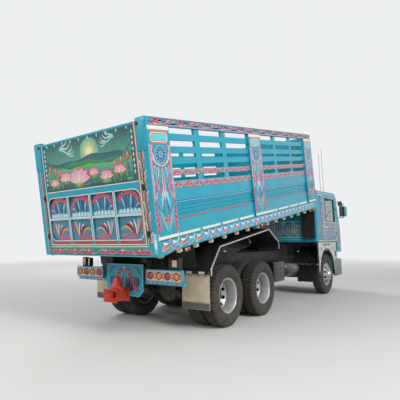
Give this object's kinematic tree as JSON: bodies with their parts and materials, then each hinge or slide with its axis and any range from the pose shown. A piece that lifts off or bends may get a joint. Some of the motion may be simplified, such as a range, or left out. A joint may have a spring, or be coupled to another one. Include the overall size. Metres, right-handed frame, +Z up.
{
  "type": "decorated tipping truck",
  "caption": "Forward-control tipping truck with a high slatted steel bed, top-hinged tailgate, tandem rear axles, tilting cab and drawbar coupling.",
  "frame": {"origin": "on the ground below the centre of the truck's bounding box", "axes": "+X towards the cab, +Y to the truck's left, +Z up"},
  "size_m": [9.1122, 2.98, 4.1429],
  "materials": {
    "body_teal": "gloss paint with painted ornament",
    "frame_black": "satin chassis paint",
    "coupling_red": "gloss paint",
    "axle_iron": "painted black, dusty",
    "rim_silver": "silver paint",
    "bright_metal": "polished",
    "tyre": "worn tread, matt sidewall",
    "flap_rubber": "dusty sheet",
    "lamp_red": "moulded lens",
    "lamp_dark": "moulded housing",
    "trim_black": "moulded",
    "dash_grey": "moulded, grained",
    "window_glass": "clear",
    "seat_cloth": "woven",
    "floor_steel": "worn bare plate"
  },
  "bodies": {
    "chassis": {"frame_rails": "frame_black", "cross_members": "frame_black", "subframe_rails": "frame_black", "frame_brackets": "frame_black", "tow_plate": "body_teal", "tow_coupling": "coupling_red", "rear_lamp_boxes": "body_teal", "lamps": "lamp_red", "mud_flaps": "flap_rubber", "axles": "axle_iron", "leaf_springs": "axle_iron", "driveline": "axle_iron", "side_tanks": "frame_black", "bumper": "body_teal", "step_panels": "bright_metal"},
    "cab": {"cab_floor": "frame_black", "cab_rear": "body_teal", "cab_roof": "body_teal", "cab_front": "body_teal", "cab_glass": "window_glass", "sun_visor": "body_teal", "roof_lamps": "lamp_dark", "mirrors": "body_teal", "intake_duct": "trim_black", "dashboard": "dash_grey", "seats": "seat_cloth"},
    "door_left": {"door_left": "body_teal", "door_glass_left": "window_glass"},
    "door_right": {"door_right": "body_teal", "door_glass_right": "window_glass"},
    "steering_wheel": {"steering_wheel": "trim_black"},
    "knuckle_left": {"knuckle_left": "axle_iron"},
    "knuckle_right": {"knuckle_right": "axle_iron"},
    "front_left_wheel": {"tyre_front_left": "tyre", "wheel_front_left": "rim_silver"},
    "front_right_wheel": {"tyre_front_right": "tyre", "wheel_front_right": "rim_silver"},
    "mid_left_wheels": {"tyres_mid_left": "tyre", "wheels_mid_left": "rim_silver"},
    "mid_right_wheels": {"tyres_mid_right": "tyre", "wheels_mid_right": "rim_silver"},
    "rear_left_wheels": {"tyres_rear_left": "tyre", "wheels_rear_left": "rim_silver"},
    "rear_right_wheels": {"tyres_rear_right": "tyre", "wheels_rear_right": "rim_silver"},
    "bed": {"bed_floor": "floor_steel", "bed_bearers": "frame_black", "bed_underframe": "frame_black", "bed_sides": "body_teal", "bed_posts": "body_teal", "valances": "body_teal", "headboard": "body_teal", "rear_beam": "body_teal", "bed_mudguards": "frame_black"},
    "tailgate": {"tailgate": "body_teal"},
    "hoist_barrel": {"hoist_barrel": "frame_black"},
    "hoist_rod": {"hoist_rod": "bright_metal"}
  },
  "joints": [
    {"name": "bed_tip", "type": "hinge", "parent": "chassis", "child": "bed", "pos_m": [-3.509, 0, 1.12], "axis": [0, -1, 0], "range_deg": [-8.8, 36.2]},
    {"name": "tailgate_swing", "type": "hinge", "parent": "bed", "child": "tailgate", "pos_m": [-4.51427, 0, 3.07401], "axis": [0, 1, 0], "range_deg": [0, 75]},
    {"name": "hoist_barrel_swing", "type": "hinge", "parent": "chassis", "child": "hoist_barrel", "pos_m": [-2.009, 0, 0.75], "axis": [0, -1, 0], "range_deg": [-11.6, 47.4]},
    {"name": "hoist_rod_slide", "type": "slide", "parent": "hoist_barrel", "child": "hoist_rod", "axis": [0.8643, 0, 0.5029], "range_m": [-0.2, 0.82]},
    {"name": "cab_tilt", "type": "hinge", "parent": "chassis", "child": "cab", "pos_m": [4.291, 0, 1], "axis": [0, 1, 0], "range_deg": [0, 45]},
    {"name": "door_left_swing", "type": "hinge", "parent": "cab", "child": "door_left", "pos_m": [4.091, 1.204, 1.65], "axis": [0, 0, -1], "range_deg": [0, 65]},
    {"name": "door_right_swing", "type": "hinge", "parent": "cab", "child": "door_right", "pos_m": [4.091, -1.204, 1.65], "axis": [0, 0, 1], "range_deg": [0, 65]},
    {"name": "steer_left", "type": "hinge", "parent": "chassis", "child": "knuckle_left", "pos_m": [3.146, 0.84, 0.527], "axis": [0, 0, 1], "range_deg": [-35, 35]},
    {"name": "steer_right", "type": "hinge", "parent": "chassis", "child": "knuckle_right", "pos_m": [3.146, -0.84, 0.527], "axis": [0, 0, 1], "range_deg": [-35.5, 35.5]},
    {"name": "steering_wheel_turn", "type": "hinge", "parent": "cab", "child": "steering_wheel", "pos_m": [3.946, -0.6, 2.01], "axis": [-0.5, 0, 0.866], "range_deg": [-565, 565]},
    {"name": "front_left_spin", "type": "hinge", "parent": "knuckle_left", "child": "front_left_wheel", "pos_m": [3.146, 1.045, 0.527], "axis": [0, 1, 0], "continuous": true},
    {"name": "front_right_spin", "type": "hinge", "parent": "knuckle_right", "child": "front_right_wheel", "pos_m": [3.146, -1.045, 0.527], "axis": [0, 1, 0], "continuous": true},
    {"name": "mid_left_spin", "type": "hinge", "parent": "chassis", "child": "mid_left_wheels", "pos_m": [-0.939, 0.935, 0.527], "axis": [0, 1, 0], "continuous": true},
    {"name": "mid_right_spin", "type": "hinge", "parent": "chassis", "child": "mid_right_wheels", "pos_m": [-0.939, -0.935, 0.527], "axis": [0, 1, 0], "continuous": true},
    {"name": "rear_left_spin", "type": "hinge", "parent": "chassis", "child": "rear_left_wheels", "pos_m": [-2.309, 0.935, 0.527], "axis": [0, 1, 0], "continuous": true},
    {"name": "rear_right_spin", "type": "hinge", "parent": "chassis", "child": "rear_right_wheels", "pos_m": [-2.309, -0.935, 0.527], "axis": [0, 1, 0], "continuous": true}
  ],
  "couplings": [
    {"joint": "hoist_barrel_swing", "follows": "bed_tip", "ratio": 1.305},
    {"joint": "hoist_rod_slide", "follows": "bed_tip", "m_per_rad": 1.284},
    {"joint": "steer_right", "follows": "steer_left", "ratio": 1},
    {"joint": "steering_wheel_turn", "follows": "steer_left", "ratio": 16}
  ]
}
